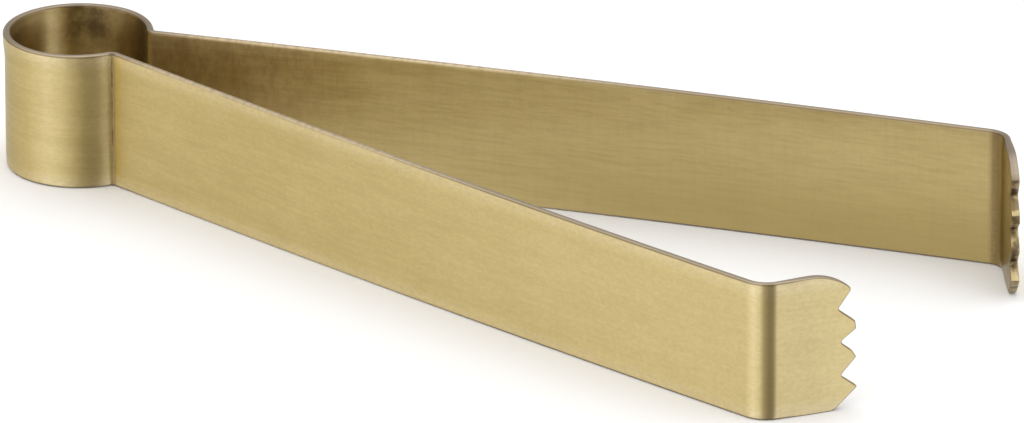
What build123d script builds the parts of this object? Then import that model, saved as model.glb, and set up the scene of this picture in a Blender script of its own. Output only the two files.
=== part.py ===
from build123d import *
import math
import os

# Ice tongs bent from one flat brass strip, standing on the strip's long edges.
# Millimetres and degrees. +X runs from the bow to the claws, +Y is the left arm's side, +Z is up.
# The origin is on the bow's axis, in the plane that the tongs stand on.

# The strip
strip_width = 20.0
strip_thickness = 1.2
edge_round = 0.35

# The spring bow and the tight reverse bend at each of its ends, measured to the middle of the strip
bow_radius = 10.0
bow_end_angle = 146.0  # from the back of the bow to where the neck starts
neck_radius = 1.2

# The arms: each one's ends lie on a line turned out by arm_splay, and its middle bows out from it
arm_splay = 13.1
arm_length = 122.8
arm_bow = 0.9

# The claws
claw_bend_radius = 3.5
claw_bend_angle = 65.5
claw_length = 11.8
tooth_pitch = 4.85
notch_depth = 2.3
tooth_lean = 0.035  # the line of teeth falls back by this much for each millimetre of height
upper_shoulder = 4.9  # where the upper corner starts to round off, from the bend
lower_shoulder = 8.3  # where the lower corner is cut off, from the bend
upper_tooth_height = 17.8
lower_tooth_height = 3.0
tooth_tip_round = 0.3
upper_tip_round = 0.6
notch_root_round = 0.35
shoulder_round = 0.8

# Where the strip flexes: across the bow, at the root of each arm and a third of the way along it
bow_flex_angle = 80.0  # from the back of the bow
root_flex_length = 12.0  # along the arm, from the neck
shank_flex_length = 42.0  # along the arm, from the neck


class Station:
    """A cross-section of the strip: where its middle is in plan, and which way the strip runs there."""

    def __init__(self, x, y, heading):
        self.x = x
        self.y = y
        self.heading = heading

    def beside(self, distance):
        """The point in plan at this distance to the left of the strip's middle."""
        angle = math.radians(self.heading + 90)
        return self.x + distance * math.cos(angle), self.y + distance * math.sin(angle)

    def plane(self):
        """The plane across the strip: its X is to the left, its Y is up and its normal runs along the strip."""
        angle = math.radians(self.heading)
        forward = (math.cos(angle), math.sin(angle), 0)
        left = (-math.sin(angle), math.cos(angle), 0)
        return Plane(origin=(self.x, self.y, strip_width / 2), x_dir=left, z_dir=forward)

    def section(self):
        """The strip's rounded cross-section."""
        return self.plane() * RectangleRounded(strip_thickness, strip_width, edge_round)


def bend(start, radius, turn):
    """A stretch of strip bent to a radius. A positive turn is to the left. Returns the solid and its end."""
    side = math.copysign(1, turn)
    centre_x, centre_y = start.beside(side * radius)
    axis = Axis((centre_x, centre_y, 0), (0, 0, side))
    solid = revolve(start.section(), axis=axis, revolution_arc=abs(turn))
    heading = start.heading + turn
    angle = math.radians(heading + 90)
    end_x = centre_x - side * radius * math.cos(angle)
    end_y = centre_y - side * radius * math.sin(angle)
    return solid, Station(end_x, end_y, heading)


def at(points):
    """A test that picks the vertices which stand at one of these points of an outline."""
    return lambda vertex: any(math.dist((vertex.X, vertex.Y), point) < 0.01 for point in points)


def claw_outline():
    """The claw laid flat: X is the distance from the bend and Y is the height."""

    def tip(height):
        return claw_length - tooth_lean * (height - lower_tooth_height), height

    def root(height):
        return tip(height)[0] - notch_depth, height

    middle = strip_width / 2
    lowest_tip = tip(lower_tooth_height)
    middle_tips = [tip(middle - tooth_pitch / 2), tip(middle + tooth_pitch / 2)]
    highest_tip = tip(upper_tooth_height)
    roots = [root(middle - tooth_pitch), root(middle), root(middle + tooth_pitch)]

    lower_edge = Line((0, 0), (lower_shoulder, 0))
    toothed_edge = Polyline(
        (lower_shoulder, 0),
        lowest_tip,
        roots[0],
        middle_tips[0],
        roots[1],
        middle_tips[1],
        roots[2],
        highest_tip,
    )
    rounded_corner = TangentArc((upper_shoulder, strip_width), highest_tip, tangent=(1, 0))
    upper_edge = Line((0, strip_width), (upper_shoulder, strip_width))
    joined_edge = Line((0, strip_width), (0, 0))
    outline = make_face([lower_edge, toothed_edge, rounded_corner, upper_edge, joined_edge])

    rounds = [
        ([lowest_tip, *middle_tips], tooth_tip_round),
        ([highest_tip], upper_tip_round),
        (roots, notch_root_round),
        ([(lower_shoulder, 0)], shoulder_round),
    ]
    for points, radius in rounds:
        outline = fillet(outline.vertices().filter_by(at(points)), radius)
    return outline


def claw(start):
    """The flat end of the strip, with its corners taken off and its edge notched into teeth."""
    angle = math.radians(start.heading)
    forward = (math.cos(angle), math.sin(angle), 0)
    right = (math.sin(angle), -math.cos(angle), 0)
    face_plane = Plane(origin=(start.x, start.y, 0), x_dir=forward, z_dir=right)
    toothed_blank = extrude(face_plane * claw_outline(), amount=strip_thickness, both=True)
    rounded_bar = extrude(start.section(), amount=claw_length)
    return rounded_bar & toothed_blank


def left_half():
    """The strip from the back of the bow to the left claw, cut where it flexes and where its shape changes."""
    arm_turn = math.degrees(4 * arm_bow / arm_length)  # half of what the bowed arm turns through
    arm_radius = arm_length / (2 * math.radians(arm_turn))
    pieces = {}

    back = Station(-bow_radius, 0, 90)
    back_half, station = bend(back, bow_radius, -bow_flex_angle)
    pieces["bow_side"], station = bend(station, bow_radius, bow_flex_angle - bow_end_angle)
    neck_turn = arm_splay + arm_turn - station.heading
    pieces["neck"], station = bend(station, neck_radius, neck_turn)

    stretches = {
        "arm_root": root_flex_length,
        "arm_shank": shank_flex_length - root_flex_length,
        "arm_grip": arm_length - shank_flex_length,
    }
    for name, length in stretches.items():
        pieces[name], station = bend(station, arm_radius, -2 * arm_turn * length / arm_length)

    pieces["claw_bend"], station = bend(station, claw_bend_radius, -claw_bend_angle)
    pieces["claw"] = claw(station)
    return back_half, pieces


os.makedirs("parts", exist_ok=True)
back_half, left_pieces = left_half()
bow_back = (back_half + mirror(back_half, about=Plane.XZ)).clean()
export_step(bow_back, "parts/bow_back.step")
for name, piece in left_pieces.items():
    export_step(piece, f"parts/left_{name}.step")
    export_step(mirror(piece, about=Plane.XZ), f"parts/right_{name}.step")
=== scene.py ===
"""The looks of the ice tongs: one brass strip, brushed along its length and bent into a spring bow,
two necks, two arms and two toothed claws. Metres, in the frame of the CAD model."""

import math

import bmesh
import bpy
from mathutils import Matrix, Vector, noise


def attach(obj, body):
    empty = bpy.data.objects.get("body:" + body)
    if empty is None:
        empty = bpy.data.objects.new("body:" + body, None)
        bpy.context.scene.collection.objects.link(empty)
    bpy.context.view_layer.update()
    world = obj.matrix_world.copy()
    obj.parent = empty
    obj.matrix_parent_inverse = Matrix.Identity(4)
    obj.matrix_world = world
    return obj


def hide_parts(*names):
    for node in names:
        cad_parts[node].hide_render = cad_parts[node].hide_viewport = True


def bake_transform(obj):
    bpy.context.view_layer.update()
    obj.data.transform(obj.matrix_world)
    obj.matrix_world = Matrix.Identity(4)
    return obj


MM = 0.001

# The strip, and the bends that shape it, measured to the middle of its thickness
strip_width = 20 * MM
strip_thickness = 1.2 * MM
edge_round = 0.35 * MM
bow_radius = 10 * MM
bow_end_angle = math.radians(146)  # from the back of the bow to the neck
neck_radius = 1.2 * MM
arm_splay = math.radians(13.1)
arm_length = 122.8 * MM
arm_bow = 0.9 * MM
claw_bend_radius = 3.5 * MM
claw_bend_angle = math.radians(65.5)

# The claw laid flat: distances from its bend, and heights
claw_plain_length = 4.5 * MM  # as far as the claw is still the plain strip
upper_shoulder = 4.9 * MM
lower_shoulder = 8.3 * MM
shoulder_round = 1.6 * MM
lowest_tooth = (11.9 * MM, 3.1 * MM)
lower_middle_tooth = [(11.7 * MM, 7.45 * MM), (11.1 * MM, 8.45 * MM)]  # the two corners of its blunt end
upper_middle_tooth = [(11.65 * MM, 11.6 * MM), (11.5 * MM, 12.75 * MM)]
highest_tooth = (11.0 * MM, 17.55 * MM)
notch_roots = [(9.35 * MM, 5.05 * MM), (9.25 * MM, 9.95 * MM), (8.9 * MM, 14.8 * MM)]
tooth_round = 0.25 * MM
highest_tooth_round = 0.55 * MM
root_round = 0.4 * MM
cut_edge_round = 0.2 * MM  # round the toothed end, where the strip was cut and not rolled

# What bending and cutting left on the strip
edge_roll_depth = 0.09 * MM  # the faces fall away this much towards the strip's edges
edge_roll_width = 2 * MM
waviness = 0.02 * MM  # how far the faces wander from true
wave_length = 18 * MM
crease_depth = 0.006 * MM  # the line pressed across the hollow side of each neck
crease_width = 0.12 * MM
crease_cell = 1.5 * MM  # how far up the line it is from one deep place to the next
crease_mean = 0.7  # how much of that depth the line has on average
crease_swing = 0.5  # how far that share varies up the line
rim_flare = 0.32 * MM  # how far the bow's upper rim leans outwards
rim_flare_height = 4 * MM  # how far down from the rim the lean starts
rim_flare_fade = 9 * MM  # how far before the neck the lean starts to fade

# Where the strip flexes, and the last cut between two pieces
bow_flex_angle = math.radians(80)  # from the back of the bow
root_flex_length = 12 * MM  # along the arm, from the neck
shank_flex_length = 42 * MM  # along the arm, from the neck
tip_split_length = 3 * MM  # how far before the claw's bend the last piece starts

# How finely the strip is divided
finest_turn = math.radians(1.2)
longest_step = 0.6 * MM
shortest_step = 0.001 * MM
edge_steps = 5
face_steps = 12
arc_steps = 6
shoulder_steps = 18
roll_parts = (0.1, 0.25, 0.45, 0.7, 1.0)  # how far across the roll-off the heights beside an edge lie
tiny = 1e-9  # a turn or a curvature smaller than this is none
rounding_off = 1e-12  # distances closer together than this are the same


class Station:
    """A cross-section of the left half: where its middle is in plan, and which way the strip runs."""

    def __init__(self, x, y, heading):
        self.x = x
        self.y = y
        self.heading = heading

    def moved(self, distance, curvature):
        """The station this far along a stretch of this curvature, which is positive to the left."""
        turn = distance * curvature
        chord = distance if abs(turn) < tiny else 2 * math.sin(turn / 2) / curvature
        direction = self.heading + turn / 2
        x = self.x + chord * math.cos(direction)
        y = self.y + chord * math.sin(direction)
        return Station(x, y, self.heading + turn)

    def point(self, across, height):
        """The point this far outwards from the strip's middle, at this height."""
        x = self.x - across * math.sin(self.heading)
        y = self.y + across * math.cos(self.heading)
        return Vector((x, y, height))


def strip_stretches():
    """Each stretch of the left half as (name, length, curvature), from the back of the bow."""
    arm_turn = 8 * arm_bow / arm_length
    bow_end_heading = math.pi / 2 - bow_end_angle
    neck_turn = arm_splay + arm_turn / 2 - bow_end_heading
    return [
        ("bow", bow_radius * bow_end_angle, -1 / bow_radius),
        ("neck", neck_radius * neck_turn, 1 / neck_radius),
        ("arm", arm_length, -arm_turn / arm_length),
        ("claw_bend", claw_bend_radius * claw_bend_angle, -1 / claw_bend_radius),
        ("claw", claw_plain_length, 0.0),
    ]


class Path:
    """The left half's middle line, by the distance along it from the back of the bow."""

    def __init__(self):
        self.starts = {}
        self.stretches = []
        distance = 0.0
        station = Station(-bow_radius, 0.0, math.pi / 2)
        for name, length, curvature in strip_stretches():
            self.starts[name] = distance
            self.stretches.append((distance, length, curvature, station))
            distance += length
            station = station.moved(length, curvature)
        self.length = distance

    def station(self, distance):
        """The cross-section at a distance."""
        start, _, curvature, station = [s for s in self.stretches if s[0] <= distance + rounding_off][-1]
        return station.moved(distance - start, curvature)

    def distances(self, first, last):
        """Distances from first to last, closer together where the strip bends."""
        marks = {first, last}
        for start, length, curvature, _ in self.stretches:
            step = min(longest_step, finest_turn / max(abs(curvature), tiny))
            count = math.ceil(length / step)
            marks.update(start + length * i / count for i in range(count + 1))
        inside = sorted(m for m in marks if first <= m <= last)
        kept = [inside[0]]
        for mark in inside[1:]:
            if mark - kept[-1] > shortest_step:
                kept.append(mark)
        return kept


path = Path()
crease = (path.starts["neck"] + path.starts["arm"]) / 2


def edge_profile(roll, radius):
    """Across an edge, from the outer face to the inner one: (in from the edge, outwards)."""
    half = strip_thickness / 2 - roll
    quarter = []
    for i in range(edge_steps + 1):
        angle = math.pi / 2 * i / edge_steps
        inset = radius * (1 - math.sin(angle))
        quarter.append((inset, half - radius * (1 - math.cos(angle))))
    return quarter + [(inset, -outwards) for inset, outwards in reversed(quarter)]


def face_heights():
    """Heights between the rounded edges of a face, closer together where it rolls off."""
    rolled = [edge_round + edge_roll_width * part for part in roll_parts]
    flat = strip_width - 2 * rolled[-1]
    middle = [rolled[-1] + flat * i / face_steps for i in range(1, face_steps)]
    return rolled + middle + [strip_width - height for height in reversed(rolled)]


def smooth(value):
    """Rises smoothly from 0 to 1 as the value does, and stays there beyond."""
    value = min(max(value, 0.0), 1.0)
    return value * value * (3 - 2 * value)


def plainness_at(distance):
    """1 where the strip was only rolled, falling to 0 along the start of the claw."""
    return 1 - smooth((distance - path.starts["claw"]) / claw_plain_length)


def section(distance):
    """The closed outline of the strip at a distance along it, as (outwards, height, how much an edge)."""
    plainness = plainness_at(distance)
    roll = edge_roll_depth * plainness
    radius = cut_edge_round + (edge_round - cut_edge_round) * plainness
    edge = edge_profile(roll, radius)
    pressed = crease_depth * math.exp(-(((distance - crease) / crease_width) ** 2))
    outer = []
    inner = []
    for height in face_heights():
        from_edge = min(height, strip_width - height) - edge_round
        fall = roll * max(0.0, 1 - from_edge / edge_roll_width) ** 2
        outwards = strip_thickness / 2 - fall
        broken = crease_mean + crease_swing * noise.noise(Vector((height / crease_cell, 0.0, 0.0)))
        outer.append((outwards - pressed * broken, height, 0.0))
        inner.append((-outwards, height, 0.0))
    top = [(outwards, strip_width - inset, 1 - inset / radius) for inset, outwards in edge]
    bottom = [(outwards, inset, 1 - inset / radius) for inset, outwards in reversed(edge)]
    return outer + top + list(reversed(inner)) + bottom


class Shell:
    """A closed surface being built, with each vertex's place on the strip beside its place in space."""

    def __init__(self, side):
        self.side = side  # 1 for the left half and -1 for the right one
        self.points = []
        self.places = []
        self.cut = []  # 0 on the faces, 1 at the outermost of an edge
        self.faces = []
        self.maps = []
        self.sharp = set()

    def add(self, station, distance, outwards, height, cut):
        """Adds a vertex and returns its number."""
        wave = waviness * noise.noise(Vector((self.side * distance, height, 0.0)) / wave_length)
        rise = smooth((height - strip_width + rim_flare_height) / rim_flare_height)
        lean = rim_flare * rise * smooth((path.starts["neck"] - distance) / rim_flare_fade)
        point = station.point(outwards + wave * plainness_at(distance) + lean, height)
        point.y *= self.side
        self.points.append(point)
        self.places.append((self.side * distance, height, outwards))
        self.cut.append(cut)
        return len(self.points) - 1

    def face(self, corners, mapping):
        """Adds a face. mapping gives the brushing direction's coordinates at each corner."""
        self.faces.append(corners)
        self.maps.append(mapping)

    def cap(self, ring):
        """Closes a ring of vertices with a flat face whose border stays sharp."""
        self.face(list(ring), [(self.places[i][2], self.places[i][1]) for i in ring])
        self.sharp.update(frozenset((a, b)) for a, b in zip(ring, [*ring[1:], ring[0]]))

    def build(self, name):
        """Makes the mesh object, with every face turned outwards."""
        mesh = bpy.data.meshes.new(name)
        mesh.from_pydata(self.points, [], self.faces)
        mesh.shade_smooth()
        for edge in mesh.edges:
            edge.use_edge_sharp = frozenset(edge.vertices) in self.sharp
        uv = mesh.uv_layers.new(name="brushing")
        uv.data.foreach_set("uv", [n for mapping in self.maps for pair in mapping for n in pair])
        place = mesh.attributes.new("place", "FLOAT_VECTOR", "POINT")
        place.data.foreach_set("vector", [n for p in self.places for n in p])
        cut = mesh.attributes.new("cut", "FLOAT", "POINT")
        cut.data.foreach_set("value", self.cut)
        surface = bmesh.new()
        surface.from_mesh(mesh)
        bmesh.ops.recalc_face_normals(surface, faces=surface.faces)
        surface.to_mesh(mesh)
        surface.free()
        piece = bpy.data.objects.new(name, mesh)
        bpy.context.scene.collection.objects.link(piece)
        return piece


def loft(shell, first, last):
    """Adds the strip between two distances to the shell, and returns its first and last rings."""
    rings = []
    distances = path.distances(first, last)
    for distance in distances:
        station = path.station(distance)
        rings.append([shell.add(station, distance, *corner) for corner in section(distance)])
    outline = [shell.points[i] for i in rings[0]]
    around = [0.0]
    for a, b in zip(outline, [*outline[1:], outline[0]]):
        around.append(around[-1] + (b - a).length)
    count = len(outline)
    for j in range(len(rings) - 1):
        near, far = (shell.side * d for d in distances[j : j + 2])
        for i in range(count):
            k = (i + 1) % count
            corners = [rings[j][i], rings[j][k], rings[j + 1][k], rings[j + 1][i]]
            low, high = around[i], around[i + 1]
            shell.face(corners, [(near, low), (near, high), (far, high), (far, low)])
    return rings[0], rings[-1]


def rounded_outline(corners):
    """Points and outward normals along a line of corners (place, radius) that runs anticlockwise."""
    outline = []
    places = [Vector(place) for place, _ in corners]
    for i, (_, radius) in enumerate(corners):
        here = places[i]
        back = (here - places[i - 1]).normalized() if i else (places[1] - here).normalized()
        ahead = (places[i + 1] - here).normalized() if i + 1 < len(places) else back
        turn = math.atan2(back.cross(ahead), back.dot(ahead))
        if radius == 0:
            along = (back + ahead).normalized()
            outline.append((here, Vector((along.y, -along.x))))
            continue
        side = math.copysign(1, turn)
        start = here - back * radius * math.tan(abs(turn) / 2)
        centre = start + Vector((-back.y, back.x)) * side * radius
        for step in range(arc_steps + 1):
            turned = Matrix.Rotation(turn * step / arc_steps, 2) @ Vector((back.y, -back.x))
            outline.append((centre + turned * side * radius, turned))
    return outline


def claw_outline():
    """The free edge of the claw, from its plain lower edge round the teeth to its plain upper edge."""
    corners = [((claw_plain_length, 0.0), 0.0), ((lower_shoulder, 0.0), shoulder_round)]
    corners.append((lowest_tooth, tooth_round))
    for root, tooth in zip(notch_roots, (lower_middle_tooth, upper_middle_tooth, [])):
        corners.append((root, root_round))
        corners.extend((corner, tooth_round) for corner in tooth)
    corners.append((highest_tooth, highest_tooth_round))
    run = highest_tooth[0] - upper_shoulder
    drop = strip_width - highest_tooth[1]
    radius = (run * run + drop * drop) / (2 * drop)
    sweep = math.asin(run / radius)
    # The shoulder's point beside the highest tooth is left out, to make room for the tooth's own rounding
    for step in range(shoulder_steps - 2, -1, -1):
        angle = sweep * step / shoulder_steps
        x = upper_shoulder + radius * math.sin(angle)
        corners.append(((x, strip_width - radius * (1 - math.cos(angle))), 0.0))
    corners.append(((claw_plain_length, strip_width), 0.0))
    return rounded_outline(corners)


def toothed_rows(shell, outline, profile, bottom, top):
    """Rows of vertices along the toothed edge, one for each step across it from outside to inside."""
    start = path.starts["claw"]
    station = path.station(start)
    rows = []
    for k, (inset, outwards) in enumerate(profile):
        row = [bottom[k]]
        for place, normal in outline[1:-1]:
            inwards = place - normal * inset
            along = station.moved(inwards.x, 0.0)
            row.append(shell.add(along, start + inwards.x, outwards, inwards.y, 1 - inset / cut_edge_round))
        rows.append([*row, top[k]])
    return rows


def toothed_end(shell, ring):
    """Closes the shell beyond its last ring with the toothed end of the claw."""
    profile = edge_profile(0.0, cut_edge_round)
    outline = claw_outline()
    edge_end = len(face_heights()) + len(profile)
    outer_side = ring[: len(face_heights())]
    top = ring[len(face_heights()) : edge_end]
    inner_side = ring[edge_end : edge_end + len(face_heights())]
    bottom = list(reversed(ring[edge_end + len(face_heights()) :]))
    rows = toothed_rows(shell, outline, profile, bottom, top)

    walked = [0.0]
    for (a, _), (b, _) in zip(outline, outline[1:]):
        walked.append(walked[-1] + (b - a).length)
    for k in range(len(rows) - 1):
        low, high = (outwards for _, outwards in profile[k : k + 2])
        for j in range(len(walked) - 1):
            corners = [rows[k][j], rows[k][j + 1], rows[k + 1][j + 1], rows[k + 1][j]]
            near, far = walked[j], walked[j + 1]
            shell.face(corners, [(near, low), (far, low), (far, high), (near, high)])

    outer = rows[0] + list(reversed(outer_side))
    inner = list(reversed(rows[-1])) + list(reversed(inner_side))
    for corners in (outer, inner):
        shell.face(corners, [shell.places[i][:2] for i in corners])


def strip_piece(name, side, first, last, toothed=False):
    """A closed length of the strip. The last one carries the toothed end."""
    shell = Shell(side)
    first_ring, last_ring = loft(shell, first, last)
    shell.cap(first_ring)
    if toothed:
        toothed_end(shell, last_ring)
    else:
        shell.cap(last_ring)
    return shell.build(name)


# ---------------------------------------------------------------- materials


class Graph:
    """Short calls for making and joining shader nodes."""

    def __init__(self, tree):
        self.tree = tree
        tree.nodes.clear()

    def node(self, kind, inputs=None, **settings):
        """Makes a node of this kind, with these inputs and settings."""
        made = self.tree.nodes.new(kind)
        for name, value in settings.items():
            setattr(made, name, value)
        for key, value in (inputs or {}).items():
            self.put(made.inputs[key], value)
        return made

    def put(self, socket, value):
        """Joins a socket to another node's output, or sets its value."""
        if isinstance(value, bpy.types.NodeSocket):
            self.tree.links.new(value, socket)
        else:
            socket.default_value = value

    def math(self, operation, *values):
        """One of Blender's sums on values."""
        return self.node("ShaderNodeMath", dict(enumerate(values)), operation=operation).outputs[0]

    def product(self, first, *others):
        """All the values multiplied together."""
        result = first
        for factor in others:
            result = self.math("MULTIPLY", result, factor)
        return result

    def between(self, share, at_none, at_all):
        """A value that goes from at_none to at_all as the share goes from 0 to 1."""
        return self.math("MULTIPLY_ADD", share, at_all - at_none, at_none)

    def ranged(self, value, low, high, to_low=0.0, to_high=1.0):
        """Turns low..high into to_low..to_high, smoothly, and holds it there beyond."""
        inputs = {"Value": value, "From Min": low, "From Max": high, "To Min": to_low, "To Max": to_high}
        return self.node("ShaderNodeMapRange", inputs, interpolation_type="SMOOTHSTEP").outputs[0]

    def mixed(self, share, a, b):
        """The colour a, with this share of the colour b over it."""
        made = self.node("ShaderNodeMix", data_type="RGBA")
        for socket, value in zip((made.inputs[0], made.inputs[6], made.inputs[7]), (share, a, b)):
            self.put(socket, value)
        return made.outputs[2]


def rgb(red, green, blue):
    """An opaque colour."""
    return (red, green, blue, 1.0)


# The colours of the brass, and of what lies on it
deep_brass = rgb(0.60, 0.475, 0.20)
pale_brass = rgb(0.66, 0.53, 0.235)
banded_brass = rgb(0.56, 0.44, 0.175)
streaked_brass = rgb(0.70, 0.57, 0.25)
# painted highlight: the outer faces lightened towards the claws
highlight_brass = rgb(0.76, 0.63, 0.30)
# painted highlight: bands along the long edges of the faces
edge_highlight_brass = rgb(0.86, 0.72, 0.42)
# partly duller metal, partly painted shade: the inner faces, darkest low down and towards the claws
dull_and_shaded_brass = rgb(0.41, 0.31, 0.11)
grained_brass = rgb(0.46, 0.35, 0.14)
scratched_brass = rgb(0.36, 0.26, 0.10)
tarnished_brass = rgb(0.30, 0.20, 0.075)
# painted shade and painted dark reflection at the claws' bends and on the inner claws
bend_shade_brown = rgb(0.20, 0.14, 0.06)
# partly unbrushed metal, partly painted shade in the hollow of each neck
neck_shade_brown = rgb(0.26, 0.19, 0.085)
# painted shade just past each neck's crease
crease_shade_brown = rgb(0.34, 0.25, 0.10)
# partly grime, partly painted shade in each neck's crease
grime_and_shade_brown = rgb(0.16, 0.105, 0.04)
speck_brown = rgb(0.22, 0.12, 0.05)
blotch_red = rgb(0.32, 0.17, 0.075)
# the colour of the dark patches inside the bow, high up
dark_patch_brown = rgb(0.09, 0.06, 0.03)
torn_pits = rgb(0.15, 0.105, 0.06)
torn_metal = rgb(0.46, 0.365, 0.20)
rolled_dark = rgb(0.26, 0.22, 0.19)
# painted highlight: broken light stripes along the arms' rolled edges
rolled_highlight = rgb(0.48, 0.39, 0.28)
arris_brown = rgb(0.10, 0.06, 0.04)

# Where the marks are: where a mark is faintest, where it is strongest and, if that isn't 0 and 1, how
# strong it is at each. The names that end in up are heights, and the others are distances from the back
# of the bow unless they say otherwise.
bend_middle = (path.starts["claw_bend"] + path.starts["claw"]) / 2
inner_face = (0.2 * MM, -0.2 * MM)  # outwards from the middle of the strip's thickness
# where the painted highlight along the long edges of the faces lies
edge_highlight_in = (2.6 * MM, 0.6 * MM)  # in from the nearer long edge
# where the painted lightening of the outer faces grows
lightened_along = (50 * MM, 160 * MM)
# where the painted shade on the inner faces and at the claws lies
shade_along = (50 * MM, 115 * MM, 0.45, 1.2)
shade_up = (16 * MM, 2 * MM, 0.22, 0.82)
claw_shade_along = (bend_middle, path.starts["claw"] + 1 * MM, 0.0, 0.3)
# where the necks' dullness and painted shade lie
neck_start = (crease - 2.0 * MM, crease - 1.0 * MM)
neck_end = (crease + 1.3 * MM, crease - 0.3 * MM)
# how the grime and painted shade in the crease grow upwards
grime_and_shade_up = (1 * MM, 9 * MM, 0.45, 0.85)
tarnish_end = (57 * MM, 29 * MM)
blotches_start = (20 * MM, 30 * MM, 0.1, 0.32)
blotches_end = (68 * MM, 38 * MM)
blotches_up = (3 * MM, 17 * MM, 0.2, 1.0)
dark_patches_start = (6 * MM, 10 * MM)
dark_patches_end = (19 * MM, 13 * MM)
dark_patches_up = (11 * MM, 17 * MM, 0.0, 0.8)
# where the painted highlight stripes along the rolled edges lie
edge_highlight_start = (26 * MM, 36 * MM)
edge_highlight_end = (110 * MM, 70 * MM)
teeth_start = (path.starts["claw"] + 6 * MM, path.starts["claw"] + 7 * MM)
teeth_up = (18.8 * MM, 17.2 * MM)

# Lines across the strip: the distance from the back of the bow, how far to each side the line fades
# out and how far to each side it is full
# painted dark bands across the claws' bends, inside and outside
inner_bend_shade_line = (bend_middle - 0.6 * MM, 1.7 * MM, 0.4 * MM)
outer_bend_dark_line = (bend_middle + 0.82 * MM, 1.05 * MM, 0.35 * MM)
# painted shade past each neck's crease, and grime with painted shade in it
crease_shade_line = (crease + 0.4 * MM, 0.5 * MM, 0.2 * MM)
grime_and_shade_line = (crease, 0.42 * MM, 0.14 * MM)
unpolished_line = (crease, 1.0 * MM, 0.5 * MM)

# The textures: how many cells there are in a metre along, up and through the strip, then the noise's
# detail and roughness
fine_streaks = ((190, 2400, 900), 1, 0.6)
broad_bands = ((40, 900, 900), 3, 0.6)
mottling = ((110, 180, 700), 4, 0.55)
dark_grain = ((1500, 2600, 900), 2, 0.6)
cross_scratches = ((1500, 130, 900), 2, 0.7)
tarnish_patches = ((260, 260, 700), 5, 0.62)
neck_streaks = ((2500, 260, 900), 3, 0.6)
# breaks up the grime and painted shade in the creases
crease_line_breaks = ((300, 700, 900), 3, 0.7)
speck_dots = ((1400, 1500, 900), 2, 0.7)
speck_patches = ((150, 120, 700), 2, 0.5)
blotch_shapes = ((1200, 500, 900), 3, 0.65)
edge_ticks = ((1100, 300, 300), 2, 0.5)
torn_shapes = ((700, 700, 700), 2, 0.5)


class Brass(Graph):
    """The brass's shader nodes, with a point's place on the strip and the textures that they share."""

    def __init__(self, tree):
        super().__init__(tree)
        self.place = self.node("ShaderNodeAttribute", attribute_name="place").outputs["Vector"]
        self.cut = self.node("ShaderNodeAttribute", attribute_name="cut").outputs["Fac"]
        self.along, self.height, outwards = self.node("ShaderNodeSeparateXYZ", {0: self.place}).outputs
        self.from_back = self.math("ABSOLUTE", self.along)
        self.inside = self.ranged(outwards, *inner_face)
        self.outside = self.math("SUBTRACT", 1.0, self.inside)
        self.near_root = self.ranged(self.from_back, *tarnish_end)
        self.fine = self.texture(*fine_streaks)
        self.broad = self.texture(*broad_bands)
        self.mottle = self.texture(*mottling)
        self.grain = self.texture(*dark_grain)
        self.patchy = self.ranged(self.texture(*tarnish_patches), 0.3, 0.7)

    def texture(self, cells, detail, roughness):
        """Noise with this many cells in a metre along, up and through the strip."""
        scaled = self.node("ShaderNodeVectorMath", {0: self.place, 1: cells}, operation="MULTIPLY")
        inputs = {"Vector": scaled.outputs[0], "Scale": 1.0, "Detail": detail, "Roughness": roughness}
        return self.node("ShaderNodeTexNoise", inputs).outputs["Fac"]

    def line(self, distance, reach, core):
        """A line across both halves of the strip, full within its core and gone beyond its reach."""
        away = self.math("ABSOLUTE", self.math("SUBTRACT", self.from_back, distance))
        return self.ranged(away, reach, core)


def bare_brass(g):
    """The metal itself: mottling, with broad bands and fine streaks along the strip."""
    colour = g.mixed(g.ranged(g.mottle, 0.3, 0.7), deep_brass, pale_brass)
    colour = g.mixed(g.ranged(g.broad, 0.35, 0.65, 0.0, 0.35), colour, banded_brass)
    return g.mixed(g.ranged(g.fine, 0.3, 0.7, 0.0, 0.3), colour, streaked_brass)


def painted_highlights(g, colour):
    """Painted highlights: the outer faces lightened towards the claws, and bands lightened along the long
    edges of the faces.
    """
    # painted highlight, growing along the outer faces towards the claws
    lightened_outside = g.product(g.ranged(g.from_back, *lightened_along), g.outside, 0.65)
    # painted highlight along the long edges, stronger on the outer faces
    from_edge = g.math("MINIMUM", g.height, g.math("SUBTRACT", strip_width, g.height))
    strength = g.between(g.outside, 0.1, 0.45)
    edge_highlight = g.product(g.ranged(from_edge, *edge_highlight_in), strength)
    colour = g.mixed(lightened_outside, colour, highlight_brass)
    return g.mixed(edge_highlight, colour, edge_highlight_brass)


def painted_shade(g, colour):
    """Painted shade: the inner faces darker, most of all low down and towards the claws, partly as duller
    metal; painted shade at the inner bends and claws, and a painted dark band across the outer bends.
    """
    # painted shade on the inner faces, between the arms, darker low down
    low_down = g.ranged(g.height, *shade_up)
    inside = g.product(g.inside, low_down, g.ranged(g.from_back, *shade_along))
    # painted shade at the inner bends and on the inner claws, and a painted dark reflection band across the
    # outer bends
    in_bend = g.product(g.line(*inner_bend_shade_line), 0.8)
    on_claw = g.ranged(g.from_back, *claw_shade_along)
    bend = g.product(g.inside, g.math("MAXIMUM", in_bend, on_claw))
    outer_dark_band = g.product(g.line(*outer_bend_dark_line), g.outside, 0.42)
    colour = g.mixed(inside, colour, dull_and_shaded_brass)
    colour = g.mixed(bend, colour, bend_shade_brown)
    return g.mixed(outer_dark_band, colour, bend_shade_brown)


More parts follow.
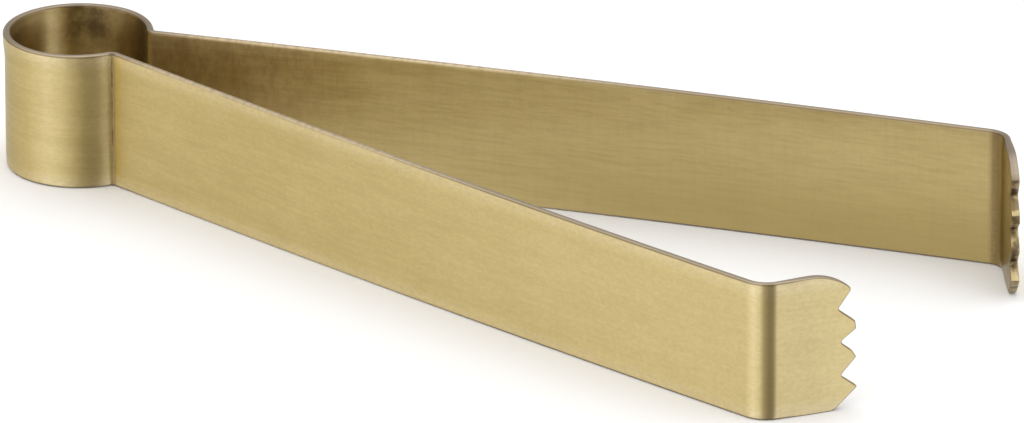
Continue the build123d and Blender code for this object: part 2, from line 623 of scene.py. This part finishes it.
def necks_shaded(g, colour):
    """The brush never reached into the necks: they are partly dull metal and partly painted shade in their
    hollows, with painted shade past the crease and grime and painted shade in it.
    """
    # partly dull unbrushed metal, partly painted shade in the necks' hollows
    streaks = g.ranged(g.texture(*neck_streaks), 0.2, 0.7, 0.0, 0.2)
    dull = g.product(g.ranged(g.from_back, *neck_start), g.ranged(g.from_back, *neck_end), streaks)
    # painted shade past the crease, then grime and painted shade in it
    past_crease_shade = g.product(g.line(*crease_shade_line), g.outside, 0.6)
    broken = g.ranged(g.texture(*crease_line_breaks), 0.3, 0.6, 0.5, 1.0)
    grime_and_shade_strength = g.product(broken, g.ranged(g.height, *grime_and_shade_up))
    grime_and_shade = g.product(g.line(*grime_and_shade_line), grime_and_shade_strength, g.outside)
    colour = g.mixed(dull, colour, neck_shade_brown)
    colour = g.mixed(past_crease_shade, colour, crease_shade_brown)
    return g.mixed(grime_and_shade, colour, grime_and_shade_brown)


def tarnished(g, colour):
    """Patchy brown tarnish inside the bow and at the roots of the arms."""
    strength = g.between(g.patchy, 0.4, 1.0)
    return g.mixed(g.product(g.near_root, g.inside, strength, 0.5), colour, tarnished_brass)


def scratched(g, colour):
    """A dark grain, and faint scratches along and across the strip that are clearer inside."""
    colour = g.mixed(g.ranged(g.grain, 0.35, 0.65, 0.2, 0.0), colour, grained_brass)
    across = g.ranged(g.texture(*cross_scratches), 0.32, 0.6, 0.4, 0.0)
    lengthwise = g.ranged(g.fine, 0.32, 0.6, 0.7, 0.0)
    strength = g.between(g.inside, 0.06, 0.23)
    return g.mixed(g.product(g.math("ADD", across, lengthwise), strength), colour, scratched_brass)


def specked(g, colour):
    """Dark specks in patches, clearer inside near the roots of the arms."""
    specks = g.ranged(g.texture(*speck_dots), 0.6, 0.72)
    patches = g.ranged(g.texture(*speck_patches), 0.5, 0.68)
    strength = g.between(g.product(g.inside, g.near_root), 0.15, 0.65)
    return g.mixed(g.product(specks, patches, strength), colour, speck_brown)


def blotched(g, colour):
    """Reddish blotches inside, mostly high up along the first part of the arms."""
    blotches = g.ranged(g.texture(*blotch_shapes), 0.42, 0.64)
    past_bow = g.ranged(g.from_back, *blotches_start)
    before_grip = g.ranged(g.from_back, *blotches_end)
    high_up = g.ranged(g.height, *blotches_up)
    return g.mixed(g.product(g.inside, blotches, past_bow, before_grip, high_up), colour, blotch_red)


def darkened_patches(g, colour):
    """Dark patches inside the bow, high up where its left side turns towards the neck."""
    along = g.product(g.ranged(g.along, *dark_patches_start), g.ranged(g.along, *dark_patches_end))
    high_up = g.ranged(g.height, *dark_patches_up)
    return g.mixed(g.product(g.inside, along, high_up, g.patchy), colour, dark_patch_brown)


def edges_coloured(g, colour):
    """Rolled grey-brown edges with painted highlight stripes along the arms, torn metal on the teeth, dark
    arrises.
    """
    # painted highlight stripes along the arms' rolled edges, broken by ticks
    along = g.product(g.ranged(g.from_back, *edge_highlight_start), g.ranged(g.from_back, *edge_highlight_end))
    ticks = g.ranged(g.texture(*edge_ticks), 0.38, 0.56, 0.35, 1.0)
    rolled = g.mixed(g.product(along, ticks), rolled_dark, rolled_highlight)
    torn = g.mixed(g.ranged(g.texture(*torn_shapes), 0.4, 0.6), torn_pits, torn_metal)
    on_teeth = g.product(g.ranged(g.from_back, *teeth_start), g.ranged(g.height, *teeth_up))
    colour = g.mixed(g.product(g.cut, 0.85), colour, g.mixed(on_teeth, rolled, torn))
    strength = g.between(along, 0.6, 0.1)
    arris = g.product(g.ranged(g.cut, 0.05, 0.35), g.ranged(g.cut, 0.9, 0.5), strength)
    return g.mixed(arris, colour, arris_brown)


def brass_roughness(g):
    """Satin all over, duller on the edges and unpolished in the necks."""
    banded = g.ranged(g.broad, 0.3, 0.7, 0.30, 0.35)
    roughness = g.math("ADD", banded, g.ranged(g.mottle, 0.3, 0.7, -0.01, 0.03))
    roughness = g.math("MULTIPLY_ADD", g.cut, 0.08, roughness)
    unpolished = g.product(g.line(*unpolished_line), g.outside)
    return g.math("MULTIPLY_ADD", unpolished, 0.3, roughness)


def brass_relief(g):
    """The faint relief that the brush left."""
    relief = g.math("ADD", g.math("MULTIPLY", g.fine, 0.7), g.math("MULTIPLY", g.grain, 0.3))
    inputs = {"Strength": 0.25, "Distance": 0.01 * MM, "Height": relief}
    return g.node("ShaderNodeBump", inputs).outputs[0]


def brushed_brass():
    """Satin brass, brushed along the strip, with the marks that making, use and age left on it, and painted
    shade and highlights.
    """
    material = bpy.data.materials.new("brushed_brass")
    material.use_nodes = True
    g = Brass(material.node_tree)
    colour = bare_brass(g)
    layers = (painted_highlights, painted_shade, necks_shaded, tarnished, scratched, specked, blotched, darkened_patches, edges_coloured)
    for layer in layers:
        colour = layer(g, colour)
    tangent = g.node("ShaderNodeTangent", direction_type="UV_MAP", uv_map="brushing").outputs[0]
    inputs = {"Base Color": colour, "Metallic": 1.0, "Roughness": brass_roughness(g)}
    inputs.update({"Normal": brass_relief(g), "Anisotropic": 0.7, "Anisotropic Rotation": 0.25})
    shader = g.node("ShaderNodeBsdfPrincipled", {**inputs, "Tangent": tangent})
    g.node("ShaderNodeOutputMaterial", {"Surface": shader.outputs[0]})
    return material


# ---------------------------------------------------------------- the pieces

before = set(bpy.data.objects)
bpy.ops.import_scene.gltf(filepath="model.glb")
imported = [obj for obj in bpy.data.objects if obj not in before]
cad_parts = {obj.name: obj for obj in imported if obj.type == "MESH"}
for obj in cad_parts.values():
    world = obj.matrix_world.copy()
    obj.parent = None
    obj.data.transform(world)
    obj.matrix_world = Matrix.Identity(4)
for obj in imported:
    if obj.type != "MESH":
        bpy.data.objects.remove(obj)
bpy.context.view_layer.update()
brass = brushed_brass()


def finish_piece(piece, nodes):
    """Gives a piece its brass and hides the CAD's nodes that it stands in for."""
    piece.data.materials.append(brass)
    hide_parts(*nodes)


def blend_at(piece, distance):
    """Bakes a piece's placing into its mesh. It finds the station at the flexing line, at this distance, but
    does nothing with it.
    """
    station = path.station(distance)
    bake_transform(piece)


bow_flex = bow_radius * bow_flex_angle
root_flex = path.starts["arm"] + root_flex_length
shank_flex = path.starts["arm"] + shank_flex_length
upper_split = path.starts["arm"]
lower_split = (root_flex + shank_flex) / 2
tip_split = path.starts["claw_bend"] - tip_split_length

for side_name, side in (("left", 1), ("right", -1)):
    bow = strip_piece(f"{side_name}_bow", side, 0.0, upper_split)
    finish_piece(bow, ["bow_back", f"{side_name}_bow_side", f"{side_name}_neck"])
    blend_at(bow, bow_flex)

    upper_arm = strip_piece(f"{side_name}_upper_arm", side, upper_split, lower_split)
    finish_piece(upper_arm, [f"{side_name}_arm_root", f"{side_name}_arm_shank"])
    blend_at(upper_arm, root_flex)

    lower_arm = strip_piece(f"{side_name}_lower_arm", side, lower_split, tip_split)
    finish_piece(lower_arm, [f"{side_name}_arm_shank", f"{side_name}_arm_grip"])
    blend_at(lower_arm, shank_flex)

    tip = strip_piece(f"{side_name}_tip", side, tip_split, path.length, toothed=True)
    finish_piece(tip, [f"{side_name}_arm_grip", f"{side_name}_claw_bend", f"{side_name}_claw"])
    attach(tip, f"{side_name}_arm_grip")


# ---------------------------------------------------------------- floor, light and camera

floor_size = 9.0
floor_colour = rgb(0.86, 0.86, 0.85)
reflected_floor_clearness = 0.72  # how much of the studio the brass reflects through the floor
camera_azimuth = math.radians(31.38)
camera_elevation = math.radians(21.6)
camera_roll = math.radians(-0.07)
camera_distance = 2.182
camera_lens = 552.9
sensor_width = 36.0
aim = Vector((75.37 * MM, -6.36 * MM, strip_width / 2))

# The studio around the object: how bright it is in each direction in plan, from the camera's own
# direction. Negative angles are to the camera's left.
studio = [
    (-180, (0.60, 0.58, 0.54)),
    (-140, (0.56, 0.54, 0.50)),
    (-95, (0.78, 0.75, 0.70)),
    (-72, (1.03, 1.02, 1.09)),
    (-50, (1.23, 1.26, 1.52)),
    (-30, (1.00, 1.01, 1.10)),
    (-5, (0.48, 0.45, 0.40)),
    (9, (0.15, 0.12, 0.09)),
    (33, (0.15, 0.12, 0.09)),
    (43, (0.95, 0.97, 1.16)),
    (80, (1.11, 1.12, 1.28)),
    (120, (0.82, 0.80, 0.80)),
    (180, (0.60, 0.58, 0.54)),
]
brightening = (-0.45, 0.15)  # the sines of the heights between which the studio grows brighter
brighter_above = 1.12  # how much brighter it is above than low down
ceiling = (0.45, 0.85)  # the sines of the heights between which the studio gives way to the ceiling
ceiling_brightness = 1.7
white = rgb(1.0, 1.0, 1.0)


def floor_material():
    """Pale and matt, but partly clear to the rays that the brass reflects."""
    material = bpy.data.materials.new("floor")
    material.use_nodes = True
    g = Graph(material.node_tree)
    matt = g.node("ShaderNodeBsdfDiffuse", {"Color": floor_colour}).outputs[0]
    clear = g.node("ShaderNodeBsdfTransparent").outputs[0]
    is_glossy = g.node("ShaderNodeLightPath").outputs["Is Glossy Ray"]
    share = g.math("MULTIPLY", is_glossy, reflected_floor_clearness)
    surface = g.node("ShaderNodeMixShader", {0: share, 1: matt, 2: clear}).outputs[0]
    g.node("ShaderNodeOutputMaterial", {"Surface": surface})
    return material


def make_floor():
    """A large pale floor."""
    mesh = bpy.data.meshes.new("floor")
    half = floor_size / 2
    corners = [(-half, -half, 0.0), (half, -half, 0.0), (half, half, 0.0), (-half, half, 0.0)]
    mesh.from_pydata(corners, [], [(0, 1, 2, 3)])
    floor = bpy.data.objects.new("floor", mesh)
    bpy.context.scene.collection.objects.link(floor)
    mesh.materials.append(floor_material())


def studio_walls(g, x, y, z):
    """The light from around the object, by direction in plan."""
    sine, cosine = math.sin(camera_azimuth), math.cos(camera_azimuth)
    towards = g.math("SUBTRACT", g.math("MULTIPLY", x, sine), g.math("MULTIPLY", y, cosine))
    rightwards = g.math("ADD", g.math("MULTIPLY", x, cosine), g.math("MULTIPLY", y, sine))
    angle = g.math("ARCTAN2", rightwards, towards)
    ramp = g.node("ShaderNodeValToRGB", {0: g.math("MULTIPLY_ADD", angle, 0.5 / math.pi, 0.5)})
    ramp.color_ramp.interpolation = "EASE"
    stops = ramp.color_ramp.elements
    while len(stops) < len(studio):
        stops.new(0.5)
    brightest = max(max(colour) for _, colour in studio)
    for stop, (degrees, colour) in zip(stops, studio):
        stop.position = degrees / 360 + 0.5
        stop.color = (*(part / brightest for part in colour), 1.0)
    brightness = g.math("MULTIPLY", g.ranged(z, *brightening, 1.0, brighter_above), brightest)
    return g.node("ShaderNodeBackground", {"Color": ramp.outputs[0], "Strength": brightness}).outputs[0]


def make_world():
    """The studio that lights the brass, which the camera itself sees as plain white."""
    world = bpy.data.worlds.new("studio")
    bpy.context.scene.world = world
    world.use_nodes = True
    g = Graph(world.node_tree)
    direction = g.node("ShaderNodeTexCoord").outputs["Generated"]
    x, y, z = g.node("ShaderNodeSeparateXYZ", {0: direction}).outputs
    walls = studio_walls(g, x, y, z)
    above = g.node("ShaderNodeBackground", {"Color": white, "Strength": ceiling_brightness}).outputs[0]
    lit = g.node("ShaderNodeMixShader", {0: g.ranged(z, *ceiling), 1: walls, 2: above}).outputs[0]
    seen = g.node("ShaderNodeBackground", {"Color": white, "Strength": 1.0}).outputs[0]
    is_camera = g.node("ShaderNodeLightPath").outputs["Is Camera Ray"]
    mix = g.node("ShaderNodeMixShader", {0: is_camera, 1: lit, 2: seen})
    g.node("ShaderNodeOutputWorld", {"Surface": mix.outputs[0]})


def make_camera():
    """Looks through a long lens from the right of the tongs, a little ahead of them and above."""
    data = bpy.data.cameras.new("camera")
    data.lens = camera_lens
    data.sensor_width = sensor_width
    data.clip_end = 20.0
    camera = bpy.data.objects.new("camera", data)
    bpy.context.scene.collection.objects.link(camera)
    sine, cosine = math.sin(camera_azimuth), math.cos(camera_azimuth)
    flat = math.cos(camera_elevation)
    back = Vector((sine * flat, -cosine * flat, math.sin(camera_elevation)))
    level = Vector((cosine, sine, 0.0))
    upright = back.cross(level)
    right = level * math.cos(camera_roll) + upright * math.sin(camera_roll)
    up = upright * math.cos(camera_roll) - level * math.sin(camera_roll)
    turned = Matrix((right, up, back)).transposed().to_4x4()
    camera.matrix_world = Matrix.Translation(aim + back * camera_distance) @ turned
    bpy.context.scene.camera = camera


make_floor()
make_world()
make_camera()
bpy.context.scene.view_settings.view_transform = "Standard"
